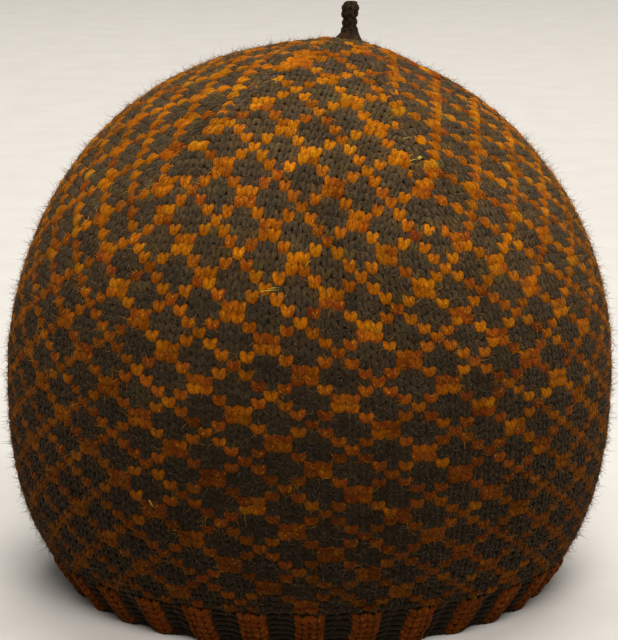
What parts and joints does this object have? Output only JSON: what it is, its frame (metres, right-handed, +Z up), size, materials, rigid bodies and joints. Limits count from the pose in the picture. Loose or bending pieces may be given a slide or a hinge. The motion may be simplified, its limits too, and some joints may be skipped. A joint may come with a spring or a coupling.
{
  "type": "knitted tam hat",
  "caption": "Tall round knitted tam in a two-colour lattice, with a ribbed band, wedged crown and short corded stem, resting on its rim.",
  "frame": {"origin": "middle of the hat's footprint, on the surface that its rim rests on", "axes": "+Z up along the hat's axis; the front faces -Y and the crown's pole lies a little towards +X"},
  "size_m": [0.2, 0.1997, 0.1927],
  "materials": {
    "rib_yarn": "two-colour corrugated rib, rust orange ribs and charcoal grooves, hairy wool",
    "body_yarn": "two-colour stranded stocking stitch, variegated orange lattice on charcoal, hairy wool",
    "stem_yarn": "charcoal knitted cord, hairy wool"
  },
  "bodies": {
    "root": {"rib_band": "rib_yarn", "body": "body_yarn", "crown": "body_yarn", "stem": "stem_yarn"}
  },
  "joints": []
}
